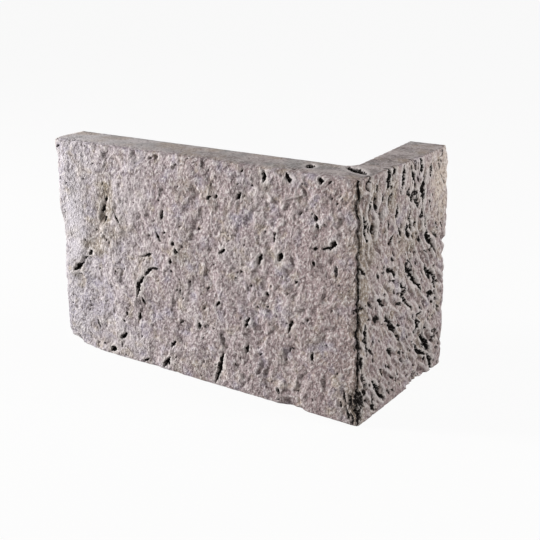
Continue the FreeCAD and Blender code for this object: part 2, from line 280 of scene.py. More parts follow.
def scatteredHoles(side, count, lean, leanSpread, lengths, depth, seed):
    # small holes all over a side; lean gives the direction at a place, in degrees
    margin = holeShape["margin"]
    rng = np.random.default_rng(seed)
    holes = []
    for _ in range(count):
        middle = rng.uniform((margin, margin), (side["length"] - margin, side["rise"] - margin))
        length = rng.uniform(*lengths) * rng.uniform(holeShape["shortest"], 1)
        turn = math.radians(lean(*middle) + rng.normal(0, leanSpread))
        half = length / 2 * np.array([math.cos(turn), math.sin(turn)])
        width = max(holeShape["leastWidth"], length * rng.uniform(*holeShape["widthShares"]))
        deep = depth * rng.uniform(holeShape["shallowest"], 1)
        holes.append((width, deep, [middle - half, middle + half]))
    return holes


# Places on the two rock faces are distances from the arris and heights.

longRock = {
    "seed": 100,
    "proud": 0.6, "footProud": 1.4,    # raise the ground towards the mould's plane
    "castLimit": 8.0,                  # the moulded scars are kept down to this depth
    "chipTop": 0, "chipShare": 1.0,    # height kept of the end's upper chip, share kept of the chips' depth
    # middle, half width, half height and depth
    "flakes": [
        (310, 0, 40, 16, 5.0), (324, 108, 26, 27, 3.4), (324, 176, 18, 26, 2.2), (189, 0, 14, 8, 2.5),
        (62, 0, 16, 9, 4.0),
    ],
    "calm": 0.3,                       # how much smoother the far end is
    "lumps": ((38, 0.9), (17, 1.15), (9, 0.9), (5, 0.5)),    # size and depth
    "facets": ((19, 1.4), (10, 1.1)),
    "streaks": ((6, 0.5), (3.6, 0.3)),
    "lean": 0.45, "leanUpTo": 200,     # lean of the grain for its rise, up to a height
    "holes": 170, "holeLengths": (2.4, 5.5), "holeDepth": 1.5, "holeTone": 0.8,
    "spread": 0.72, "stretch": 1.12,   # of the listed cracks' widths and lengths
    "blunt": 0.3,                      # of their ends
    "darkRim": 1.2,                    # the painted shade of a crack is wider than the crack by this
    "litSide": (1.6, 1.6),             # from a crack's worn lip back to the crack
    "valleys": [(17, 1.7, [(254, 168), (266, 140), (284, 106), (297, 88)])],
    # patches of colour: middle, half width and half height
    "cream": [],
    "olive": [(262, 146, 11, 30), (280, 101, 14, 8)],
    # a dark patch at the foot of the arris
    "darkening": [(7, 14, 10, 18)],
    # painted light: a lit patch on the proud lobe at the far end
    "litPatch": [(303, 122, 16, 32)],
    # width, depth and points
    "cracks": [
        (4.6, 7, [(133, 31), (138, 18), (142, 3)]), (2.4, 3, [(204, 94.8), (210, 94.4), (215, 92)]),
        (3.0, 2, [(199, 93)]), (2.8, 2, [(194, 95)]), (3.2, 3, [(188, 96.6), (187.5, 95)]),
        (3.0, 6, [(212, 93), (219, 87)]), (4.6, 7, [(221, 84), (226, 77), (229, 66)]),
        (2.6, 4, [(224, 64), (222, 58)]), (2.4, 3, [(261, 152), (262, 147)]),
        (3.4, 4, [(264, 144), (268, 137)]), (2.0, 3, [(252, 138), (246, 129)]),
        (2.4, 3, [(264, 133), (265, 129)]), (5.2, 6, [(284, 97.5), (288, 94)]),
        (2.4, 2, [(291, 91), (295, 88.5)]), (4.6, 6, [(297, 84), (307, 76)]),
        (2.4, 5, [(204, 127), (200, 121)]), (4.2, 6, [(184, 123), (185, 120)]),
        (3.8, 6, [(182, 117), (181, 113)]), (2.6, 4, [(188, 107), (188, 103)]),
        (3.2, 6, [(194, 149), (196, 142)]), (2.6, 4, [(198, 158)]), (2.8, 6, [(134, 122), (128, 126)]),
        (3.8, 7, [(88, 197), (89, 188)]), (3.8, 7, [(67, 198), (64, 191)]), (2.8, 5, [(100, 183)]),
        (2.4, 4, [(146, 166), (141, 169)]), (2.4, 4, [(137, 168), (135, 171)]),
        (2.8, 6, [(115, 170), (111, 176)]), (3.2, 6, [(41, 167), (40, 163)]),
        (3.2, 6, [(39, 161), (38, 158)]), (2.6, 3, [(42, 141), (38, 142)]),
        (2.8, 3, [(33, 142.5), (28, 143.5), (24, 145.5)]), (5.0, 7, [(25, 146), (22, 150)]),
        (3.0, 6, [(78, 148), (79, 141)]), (4.8, 7, [(72, 132), (74, 126)]),
        (3.0, 6, [(91, 128), (95, 119)]), (3.2, 5, [(113, 109)]), (3.2, 5, [(118, 103)]),
        (3.0, 5, [(87, 96), (87, 93)]), (2.8, 5, [(86, 84)]), (3.0, 5, [(135, 79), (139, 74)]),
        (3.4, 6, [(157, 55), (158, 50)]), (2.6, 4, [(142, 53)]), (3.2, 6, [(105, 70), (108, 62)]),
        (2.8, 6, [(107, 45), (109, 38)]), (2.8, 6, [(42, 54), (43, 48)]),
        (2.8, 5, [(62, 77), (65, 67)]), (3.0, 5, [(62, 53)]), (3.0, 5, [(247, 37)]),
        (4.6, 7, [(252, 19), (246, 25)]), (2.6, 5, [(282, 30), (280, 24)]),
        (7.5, 7, [(265, 3), (260, 7)]), (2.8, 5, [(228, 48), (229, 42)]),
        (2.8, 6, [(187, 30), (191, 25)]), (5.6, 7, [(194, 13), (197, 8), (201, 3)]),
        (2.8, 5, [(77, 14), (76, 9)]), (3.2, 6, [(76, 3)]), (2.8, 5, [(220, 5), (226, 1)]),
        (2.0, 3, [(222, 103), (210, 108)]), (2.4, 4, [(88, 147)]), (2.4, 4, [(108, 133)]),
        (2.2, 4, [(21, 130), (21, 122)]), (2.4, 4, [(41, 131), (41, 127)]), (2.4, 4, [(311, 50)]),
        (2.4, 4, [(312, 42)]), (2.6, 4, [(290, 43)]), (2.8, 4, [(287, 165)]),
        (6.4, 7, [(35.5, 198), (35, 194.5)]), (2.4, 1.4, [(4, 2), (5, 10)]),
        (2.8, 2, [(8, 5), (9, 14)]), (2.4, 2, [(7, 18), (6, 25)]), (2.0, 1.4, [(11, 20), (13, 28)]),
        (2.2, 1.4, [(3, 20), (2, 28)]), (2.2, 1.4, [(13, 8)]), (1.8, 1.4, [(15, 14), (16, 19)]),
    ],
}

shortRock = {
    "seed": 200,
    "proud": 0.6, "footProud": 1.4,
    "castLimit": 3.2,
    "chipTop": 20, "chipShare": 0.42,
    "flakes": [(105, 0, 23, 13, 5.4)],
    "calm": 0.0,
    "lumps": ((34, 0.9), (15, 1.0), (8, 0.7)),
    "facets": ((17, 1.2), (9, 1.0)),
    "streaks": ((6.5, 2.7), (4, 1.7)),
    "lean": 0.8, "leanUpTo": 140,
    "holes": 260, "holeLengths": (4, 11), "holeDepth": 2.6, "holeTone": 0.85,
    "spread": 1.24, "stretch": 1.5,
    "blunt": 0.4,
    "darkRim": 1.1,
    "litSide": (-1.6, 1.6),
    "valleys": [],
    "cream": [(139, 176, 20, 42)],
    "olive": [(110, 38, 6, 16), (47, 178, 8, 18), (8, 120, 9, 50), (12, 144, 16, 24), (84, 138, 26, 14)],
    "darkening": [(5, 20, 6, 18)],
    "litPatch": [],
    "cracks": [
        (4.6, 7, [(44, 197), (43, 187)]), (3.0, 6, [(52, 198), (50, 191)]),
        (5.6, 8, [(68, 194), (66, 183)]), (4.2, 6, [(82, 189), (86, 185)]),
        (3.6, 7, [(97, 196), (99, 188)]), (3.6, 6, [(116, 189), (115, 182)]),
        (3.8, 6, [(105, 180), (104, 172), (103, 164)]), (2.8, 5, [(77, 177), (77, 173)]),
        (2.8, 5, [(71, 179)]), (3.0, 5, [(98, 176), (97, 171)]), (3.2, 5, [(85, 173), (86, 167)]),
        (3.6, 6, [(92, 166), (94, 160)]), (3.2, 6, [(58, 166), (58, 160)]),
        (2.8, 4, [(25, 177), (25, 172)]), (2.8, 4, [(34, 181), (34, 178)]),
        (3.2, 5, [(18, 183), (19, 180)]), (3.6, 6, [(6, 171), (9, 163), (10, 155)]),
        (3.4, 5, [(16, 160), (16, 157)]), (2.8, 5, [(22, 160), (23, 155)]),
        (3.2, 6, [(33, 168), (33, 162)]), (3.2, 6, [(103, 155), (104, 149)]),
        (3.6, 6, [(75, 148), (77, 140)]), (4.2, 6, [(83, 147), (84, 143)]),
        (3.2, 5, [(90, 147), (90, 144)]), (3.0, 5, [(79, 140), (80, 137)]),
        (3.6, 6, [(112, 143), (115, 134), (118, 128), (125, 120), (130, 116)]),
        (5.2, 6, [(87, 114), (86, 108)]), (3.2, 5, [(45, 119), (50, 116)]),
        (3.2, 5, [(55, 113), (57, 110)]), (3.2, 5, [(50, 108)]),
        (5.2, 7, [(80, 108), (88, 102), (97, 94)]), (3.8, 6, [(70, 97), (75, 89), (82, 80)]),
        (4.2, 6, [(118, 98), (127, 92)]), (6.4, 8, [(129, 90), (134, 80)]),
        (4.0, 6, [(122, 76), (128, 73)]), (4.4, 6, [(134, 71), (134, 61)]),
        (3.0, 5, [(104, 88), (108, 82)]), (3.6, 6, [(48, 76), (54, 69), (60, 60)]),
        (3.0, 5, [(31, 97), (41, 90)]), (3.6, 6, [(10, 79), (11, 70), (13, 61)]),
        (4.2, 6, [(4, 57), (5, 50)]), (3.0, 5, [(92, 65), (93, 62)]), (6.2, 9, [(103, 58), (98, 46)]),
        (3.6, 6, [(50, 48), (57, 42)]), (6.2, 9, [(118, 43), (117, 34), (124, 25)]),
        (3.0, 5, [(101, 34), (106, 27), (115, 22)]), (3.2, 5, [(122, 18)]),
        (5.2, 7, [(126, 14), (131, 3)]), (4.2, 6, [(13, 30), (11, 21)]), (3.2, 5, [(10, 37)]),
        (3.4, 6, [(27, 26), (33, 19), (41, 10)]), (3.2, 5, [(24, 9), (25, 6)]), (2.8, 4, [(62, 6)]),
        (2.6, 4, [(111, 9)]), (3.4, 5, [(2, 3), (3, 12)]), (3.0, 5, [(5, 17), (3, 27)]),
    ],
}

# What the two rock faces have in common.

rockFinish = {
    "wander": (13, 2.2), "fineWander": (5, 0.9),    # size and reach of the bends in the moulded scars
    "stillEdge": 12.0,                              # near the edges the scars bend less
    "scarWidth": 12.0,                              # what is narrower in the solid is cut afresh here
    "chipReach": 20.0, "chipBlur": 1.6,             # of the chips at the ends
    "arrisMargin": 3.0,                             # the solid's crease is not read: it is cut afresh too
    "castBlur": 0.8, "valleyBlur": 2.0,
    "footReach": 14.0,                              # height over which the ground stands proud at the foot
    "calmFrom": 140.0, "calmOver": 140.0,           # distances from the arris
    "litPatchCalm": 0.6,                                # how much smoother the painted lit patch is
    "facetBend": 1.4, "facetBlur": 0.6,
    "streakLength": 2.4,                            # for its width
    "planeSoftness": 0.5,
    "topWear": 1.0, "footWear": 0.4, "wearReach": 2.2, "wearLumps": 11,
    "endWear": 0.3, "endWearReach": 2.0, "endWearLumps": 9,
    "uprightLean": 4, "leanSpread": 20,             # of the holes, in degrees
    "creamFill": 0.6,                               # how far the cream fills cracks
    "crackRim": 1.0, "holeRim": 0.5,                # shares of the rim of painted shade
    "lipBlur": 1.5, "lipDepth": 0.15,
    "darkeningTone": 0.52,
    "crestBlur": 2.5,                               # what stands out of this average is a crest
    # painted shade round the holes and cracks and along the valleys; the arris grime is a stain
    "shadeRoundHoles": 1.2, "shadeRoundHolesBlur": 3.5,
    "arrisGrime": 0.6, "arrisGrimeLumps": (16, 0.7), "arrisGrimeReach": 9.0,
    "valleyShade": 0.4,
}

# Each draw of chance on a rock face has its own seed, counted from the face's.

rockDraws = {
    "wander": 0, "fineWander": 10, "lumps": 20, "facets": 30, "streaks": 40, "wear": 50, "endWear": 51,
    "holePlaces": 60, "cracks": 70, "valleys": 75, "holes": 80,
    "grimeAndShade": 90, "cream": 91, "olive": 92, "darkening": 93, "litPatch": 94,
}


def mouldedForm(side, rock, along, up, wander):
    # the solid's scars without their fissures, bent off their straight lines
    finish = rockFinish
    edge = np.minimum(np.minimum(along, side["length"] - along), np.minimum(up, side["rise"] - up))
    inside = np.clip(edge / finish["stillEdge"], 0, 1)
    cast = castDepths(side, along, up)
    atEnd = side["length"] - along < finish["chipReach"]
    chipped = atEnd & ((up < finish["chipReach"]) | (side["rise"] - up < rock["chipTop"]))
    chips = rock["chipShare"] * blurred(cast, finish["chipBlur"])
    scars = np.minimum(withoutPits(cast, finish["scarWidth"]), rock["castLimit"])
    form = np.where(chipped, chips, scars)
    bentAlong = np.maximum(along + wander[0] * inside, finish["arrisMargin"])
    return blurred(readMap(form, bentAlong, up + wander[1] * inside), finish["castBlur"])


def rockGround(side, rock, along, up, valley, litPatch):
    # the rock face without its cracks and holes
    finish, draws, seed = rockFinish, rockDraws, rock["seed"]
    wander = []
    for k in (0, 1):
        bends = [(finish[name], seed + draws[name] + k) for name in ("wander", "fineWander")]
        wander.append(sum(reach * lumps(along, up, size, draw) for (size, reach), draw in bends))
    foot = rock["footProud"] * np.exp(-up / finish["footReach"])
    ground = mouldedForm(side, rock, along, up, wander) - rock["proud"] + valley - foot
    for a, u, halfWidth, halfHeight, depth in rock["flakes"]:
        ground += depth * np.clip(1 - ((along - a) / halfWidth) ** 2 - ((up - u) / halfHeight) ** 2, 0, 1)
    far = np.clip((along - finish["calmFrom"]) / finish["calmOver"], 0, 1)
    calm = (1 - rock["calm"] * far) * (1 - finish["litPatchCalm"] * litPatch)
    for k, (size, depth) in enumerate(rock["lumps"]):
        ground += depth * calm * lumps(along, up, size, seed + draws["lumps"] + k)
    bent = (along + finish["facetBend"] * wander[1], up + finish["facetBend"] * wander[0])
    for k, (size, depth) in enumerate(rock["facets"]):
        broken = facets(*bent, size, seed + draws["facets"] + k)
        ground += depth * calm * blurred(broken, finish["facetBlur"])
    across = along + rock["lean"] * np.minimum(up, rock["leanUpTo"])
    for k, (size, depth) in enumerate(rock["streaks"]):
        torn = lumps(across, up / finish["streakLength"], size, seed + draws["streaks"] + k)
        ground += depth * calm * torn
    ground = (ground + np.sqrt(ground ** 2 + finish["planeSoftness"])) / 2  # nothing stands out of the plane
    top = finish["topWear"] * np.exp((up - side["rise"]) / finish["wearReach"])
    worn = top + finish["footWear"] * np.exp(-up / finish["wearReach"])
    ground += worn * (1 + lumps(along, up, finish["wearLumps"], seed + draws["wear"])).clip(0)
    worn = finish["endWear"] * np.exp(-(side["length"] - along) / finish["endWearReach"])
    ground += worn * (1 + lumps(along, up, finish["endWearLumps"], seed + draws["endWear"])).clip(0)
    return ground


def rockHoles(side, rock, along, up, patches):
    # depths of the listed cracks and the scattered holes, and the shade painted into them up to their rims
    finish, draws, seed = rockFinish, rockDraws, rock["seed"]
    tornLean = math.degrees(math.atan(rock["lean"]))

    def lean(a, u):
        return 90 + (tornLean if u < rock["leanUpTo"] else finish["uprightLean"])

    listed = []
    for width, depth, line in rock["cracks"]:
        middle = np.mean(line, 0)
        listed.append((width * rock["spread"], depth, middle + rock["stretch"] * (np.array(line) - middle)))
    holes = scatteredHoles(side, rock["holes"], lean, finish["leanSpread"], rock["holeLengths"],
                           rock["holeDepth"], seed + draws["holePlaces"])
    sound = 1 - finish["creamFill"] * patches["cream"]
    cracks = crackMap(along, up, listed, seed + draws["cracks"], rock["blunt"]) * sound
    small = crackMap(along, up, holes, seed + draws["holes"]) * sound
    dark = []
    for pits, draw, rim in ((listed, "cracks", finish["crackRim"]), (holes, "holes", finish["holeRim"])):
        wider = [(width + rim * rock["darkRim"], depth, line) for width, depth, line in pits]
        mouths = crackMap(along, up, wider, seed + draws[draw], rock["blunt"]) * sound
        dark.append(np.clip(mouths, 0, 1))
    shadeInHoles = np.maximum(dark[0], rock["holeTone"] * dark[1])
    # darker at the foot of the arris, blended in as the holes are
    shadeInHoles = np.maximum(shadeInHoles, finish["darkeningTone"] * patches["darkening"])
    litAlong, litUp = rock["litSide"]
    lip = readMap(blurred(cracks, finish["lipBlur"]), along + litAlong, up + litUp)
    return np.maximum(np.maximum(cracks, small), finish["lipDepth"] * lip), shadeInHoles


def rockRelief(side, rock):
    finish, draws, seed = rockFinish, rockDraws, rock["seed"]
    along, up = mapGrid(side)
    patches = {}
    for name in ("cream", "olive", "darkening", "litPatch"):
        patches[name] = patchMap(along, up, rock[name], seed + draws[name])
    valley = blurred(crackMap(along, up, rock["valleys"], seed + draws["valleys"]), finish["valleyBlur"])
    cuts, shadeInHoles = rockHoles(side, rock, along, up, patches)
    depths = rockGround(side, rock, along, up, valley, patches["litPatch"]) + cuts
    size, depth = finish["arrisGrimeLumps"]
    uneven = (finish["arrisGrime"] + depth * lumps(along, up, size, seed + draws["grimeAndShade"])).clip(0)
    # painted shade round holes and along the valleys, with the stain by the arris and the olive stains
    grimeAndShade = finish["shadeRoundHoles"] * blurred(shadeInHoles, finish["shadeRoundHolesBlur"])
    grimeAndShade = grimeAndShade + np.exp(-along / finish["arrisGrimeReach"]) * uneven
    grimeAndShade = grimeAndShade + finish["valleyShade"] * valley + patches["olive"]
    # painted light: the crest mark is the height over the nearby average, for painted highlight on crests
    # and painted shade in hollows
    return {
        "depths": depths, "shadeInHoles": shadeInHoles, "reliefShading": blurred(depths, finish["crestBlur"]) - depths,
        "grimeAndShade": np.clip(grimeAndShade, 0, 1), "cream": patches["cream"], "litPatch": patches["litPatch"],
        "rock": np.ones(depths.shape),
    }


# The smooth sides. Places on the upper bed are distances from the long leg's end and from the long face.

beds = {
    "upperBed": {
        "seed": 300, "roughness": 0.25, "holes": 40, "worn": 7,  # width of the margin beside the long face
        "cracks": [
            (10.4, 9, [(288, 35.6), (298.5, 29.3), (311, 21)]), (9, 8, [(258.5, 28), (264.5, 17)]),
            (2.8, 4, [(246, 8)]), (2.2, 3, [(205, 20)]), (2.0, 2, [(121, 12)]), (2.2, 3, [(301, 88)]),
            (2.2, 3, [(310, 71)]),
        ],
    },
    "lowerBed": {"seed": 400, "roughness": 0.2, "holes": 40, "worn": 0, "cracks": []},
    "longEnd": {"seed": 500, "roughness": 0.35, "holes": 14, "worn": 0, "cracks": []},
    "shortEnd": {"seed": 600, "roughness": 0.35, "holes": 12, "worn": 0, "cracks": []},
    "longBack": {"seed": 700, "roughness": 0.5, "holes": 90, "worn": 0, "cracks": []},
    "shortBack": {"seed": 800, "roughness": 0.5, "holes": 40, "worn": 0, "cracks": []},
}
bedFinish = {
    "lumps": ((40, 0.5), (12, 0.35), (5, 0.3)),       # size, and depth for a side's roughness
    "holeLengths": (1.8, 3.4), "holeDepth": 2.0, "leanSpread": 40,
    "crackBlunt": 0.5, "crackRough": 0.15,            # the cracks of a bed are cleaner cut
    "marginLumps": ((16, 0.35), (5, 0.3)),            # how the worn margin's width varies
    "marginSlope": 1.3, "leastMargin": 0.1,
    "marginDrop": 1.0, "dropLumps": (4, 0.8),
    "blackDepth": 0.5,                                # a cut this deep is painted black as shade
    "crestBlur": 2.5, "shadeRoundHolesBlur": 3.0,
}
# counted from a side's seed
bedDraws = {"lumps": 0, "holePlaces": 3, "cracks": 4, "holes": 5, "margin": 6, "drop": 8}


def bedRelief(side, bed):
    finish, seed = bedFinish, bed["seed"]
    along, up = mapGrid(side)

    def anyWay(a, u):
        return 180 * math.sin(a + u)

    holes = scatteredHoles(side, bed["holes"], anyWay, finish["leanSpread"], finish["holeLengths"],
                           finish["holeDepth"], seed + bedDraws["holePlaces"])
    cracks = crackMap(along, up, bed["cracks"], seed + bedDraws["cracks"], finish["crackBlunt"],
                      finish["crackRough"])
    cut = np.maximum(cracks, crackMap(along, up, holes, seed + bedDraws["holes"]))
    ground = layered(along, up, finish["lumps"], seed + bedDraws["lumps"], 1)
    depths = bed["roughness"] * np.maximum(ground, 0) + cut
    margin = bed["worn"] * layered(along, up, finish["marginLumps"], seed + bedDraws["margin"], 1).clip(0)
    slope = finish["marginSlope"]
    rock = np.clip(slope - slope * up / (margin + finish["leastMargin"]), 0, 1)  # worn to rough stone
    size, depth = finish["dropLumps"]
    depths += rock * (finish["marginDrop"] + depth * lumps(along, up, size, seed + bedDraws["drop"])).clip(0)
    # painted shade: a cut is painted black by its depth
    shadeInHoles = np.clip(cut / finish["blackDepth"], 0, 1)
    # painted light: the crest mark, for painted highlight on what stands out of the bed
    reliefShading = blurred(depths, finish["crestBlur"]) - depths
    # painted shade round the bed's holes and cracks
    grimeAndShade = blurred(shadeInHoles, finish["shadeRoundHolesBlur"])
    return {"depths": depths, "shadeInHoles": shadeInHoles, "reliefShading": reliefShading, "grimeAndShade": grimeAndShade, "rock": rock}


reliefs = {}
for name, rock in (("longFace", longRock), ("shortFace", shortRock)):
    reliefs[name] = rockRelief(sides[name], rock)
for name, bed in beds.items():
    reliefs[name] = bedRelief(sides[name], bed)
print("relief maps worked out")


def plainBlank():
    # the plain L in millimetres, with evenly spaced points all over
    radius, steps = quoin["rootRadius"], quoin["rootSteps"]
    lean = math.atan2(quoin["taper"], high[1])
    run = radius / math.tan(math.pi / 4 - lean / 2)
    turns = [-math.pi / 2 + (math.pi / 2 + lean) * k / steps for k in range(steps + 1)]
    root = [(-run + radius * math.cos(t), radius + radius * math.sin(t)) for t in turns]
    ends = [tuple(shortEndFoot[:2]), (high[0], high[1]), (high[0], low[1]), (low[0], low[1]), (low[0], 0)]
    bm = bmesh.new()
    foot = bm.faces.new([bm.verts.new((x, y, low[2])) for x, y in root + ends])
    raised = bmesh.ops.extrude_face_region(bm, geom=[foot])["geom"]
    corners = [v for v in raised if isinstance(v, bmesh.types.BMVert)]
    bmesh.ops.translate(bm, verts=corners, vec=(0, 0, height))
    bmesh.ops.recalc_face_normals(bm, faces=bm.faces)
    mesh = bpy.data.meshes.new("blank")
    bm.to_mesh(mesh)
    bm.free()
    blank = bpy.data.objects.new("blank", mesh)
    bpy.context.collection.objects.link(blank)
    spacing = blank.modifiers.new("spacing", "REMESH")
    spacing.mode = "VOXEL"
    spacing.voxel_size = quoin["pointSpacing"]
    dense = bpy.data.meshes.new_from_object(blank.evaluated_get(bpy.context.evaluated_depsgraph_get()))
    bpy.data.objects.remove(blank)
    return dense


def pressSides(points, moved, marks):
    for name, relief in reliefs.items():
        side = sides[name]
        fromCorner = points - side["corner"]
        along, up, below = (fromCorner @ side[axis] for axis in ("along", "up", "inward"))
        within = (along > -quoin["pastEnds"]) & (along < side["length"] + quoin["pastEnds"])
        near = (below > -quoin["offPlane"]) & within
        fade = np.where(near, np.clip(1 - below / quoin["reliefReach"], 0, 1), 0)
        moved += (readMap(relief["depths"], along, up) * fade)[:, None] * side["inward"]
        onSide = near & (below < quoin["skin"])
        for mark in markNames:
            if mark in relief:
                values = readMap(relief[mark], along, up)
                stronger = onSide & (np.abs(values) > np.abs(marks[mark]))
                marks[mark] = np.where(stronger, values, marks[mark])


crease = {
    "halfWidth": 2.0,                        # of the crease down the arris, cut and painted black as shade
    "closedWidth": 0.45, "openWidth": 0.45,  # shares of it: always, and added where it is open
    "depth": 3.6,                            # along the bisector of the two faces
    "steepness": 1.5,                        # of its walls
    "darkening": 3.1, "darkeningTone": 0.5,            # width and tone of the painted shade to each side of it
    "arrisReach": 1.0,                       # how near to a face's plane it is cut
    "lean": 1.5,                             # of the line's top from the arris
    # size and reach of the lumps that shape it, the seed of each, and the row of the noise that is read
    "bends": ((22, 0.35), (6, 0.25)), "bendSeed": 901, "bendRow": 3,
    "gapeLumps": (9, 0.2), "gapeSeed": 904, "gapeRow": 7,
    "crumbs": (3.2, 0.4), "crumbSeed": 905,
    "gapeLimits": (0.15, 1.6),
    # height, and how far the line is open there
    "openAt": (
        (0, 0.3), (7, 0.7), (14, 1.3), (25, 1.2), (34, 0.9), (42, 0.7), (52, 1.3), (60, 0.9), (66, 1.1),
        (76, 1.0), (82, 1.3), (100, 1.3), (112, 0.9), (126, 0.9), (140, 0.7), (150, 0.5), (158, 0.45),
        (168, 0.55), (175, 0.8), (184, 1.0), (200, 1.0),
    ),
}


def pressCrease(points, moved, marks):
    a, b, up = high[0] - points[:, 0], points[:, 1] - low[1], points[:, 2]
    nearArris = np.minimum(a, b) < crease["arrisReach"]
    row = np.full(up.shape, float(crease["bendRow"]))
    line = layered(up, row, crease["bends"], crease["bendSeed"], crease["lean"] * up / high[2])
    offset = a - b - line
    row = np.full(up.shape, float(crease["gapeRow"]))
    size, depth = crease["gapeLumps"]
    gape = np.interp(up, *zip(*crease["openAt"])) + depth * lumps(up, row, size, crease["gapeSeed"])
    gape = np.clip(gape, *crease["gapeLimits"])
    size, depth = crease["crumbs"]
    ragged = 1 + depth * lumps(a - b, up, size, crease["crumbSeed"])
    reach = crease["halfWidth"] * (crease["closedWidth"] + crease["openWidth"] * gape) * ragged
    share = np.clip(1 - (np.abs(offset) / reach) ** crease["steepness"], 0, 1) * nearArris
    moved += (crease["depth"] * gape * share / math.sqrt(2))[:, None] * np.array([-1, 1, 0])
    opened = np.clip(gape, 0, 1)
    # painted shade: the open crease is painted black, with a band of shade to each side
    darkening = crease["darkeningTone"] * np.exp(-(offset / crease["darkening"]) ** 2) * opened * nearArris
    marks["shadeInHoles"] = np.maximum(marks["shadeInHoles"], np.maximum(share * opened, darkening))


def pressRelief(mesh):
    points = np.empty(len(mesh.vertices) * 3)
    mesh.vertices.foreach_get("co", points)
    points = points.reshape(-1, 3)
    moved = points.copy()
    marks = {name: np.zeros(len(points)) for name in markNames}
    pressSides(points, moved, marks)
    pressCrease(points, moved, marks)
    mesh.vertices.foreach_set("co", np.clip(moved, low, high).ravel())
    for mark, values in marks.items():
        mesh.attributes.new(mark, "FLOAT", "POINT").data.foreach_set("value", values)


def castQuoin():
    mesh = plainBlank()
    pressRelief(mesh)
    print("relief pressed into", len(mesh.vertices), "points")
    stone = bpy.data.objects.new("quoinStone", mesh)
    bpy.context.collection.objects.link(stone)
    thin = stone.modifiers.new("thin", "DECIMATE")
    thin.ratio = quoin["triangles"] / (2 * len(mesh.polygons))
    thinned = bpy.data.meshes.new_from_object(stone.evaluated_get(bpy.context.evaluated_depsgraph_get()))
    stone.modifiers.clear()
    stone.data = thinned
    thinned.transform(Matrix.Scale(mm, 4))
    thinned.shade_smooth()
    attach(stone, "root")
    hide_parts("quoin_stone")
    print("stone has", sum(len(p.vertices) - 2 for p in thinned.polygons), "triangles")
    return stone


def hexColour(text):
    # sRGB hex to linear
    parts = [int(text[k:k + 2], 16) / 255 for k in (1, 3, 5)]
    return (*(c / 12.92 if c <= 0.04045 else ((c + 0.055) / 1.055) ** 2.4 for c in parts), 1)


def addNode(tree, kind, inputs=None, **settings):
    node = tree.nodes.new(kind)
    for name, value in settings.items():
        setattr(node, name, value)
    for name, value in (inputs or {}).items():
        if isinstance(value, bpy.types.NodeSocket):
            tree.links.new(value, node.inputs[name])
        else:
            node.inputs[name].default_value = value
    return node


mixShare, mixUnder, mixOver, mixResult = 0, 6, 7, 2  # sockets of a colour mix, whose names are not unique

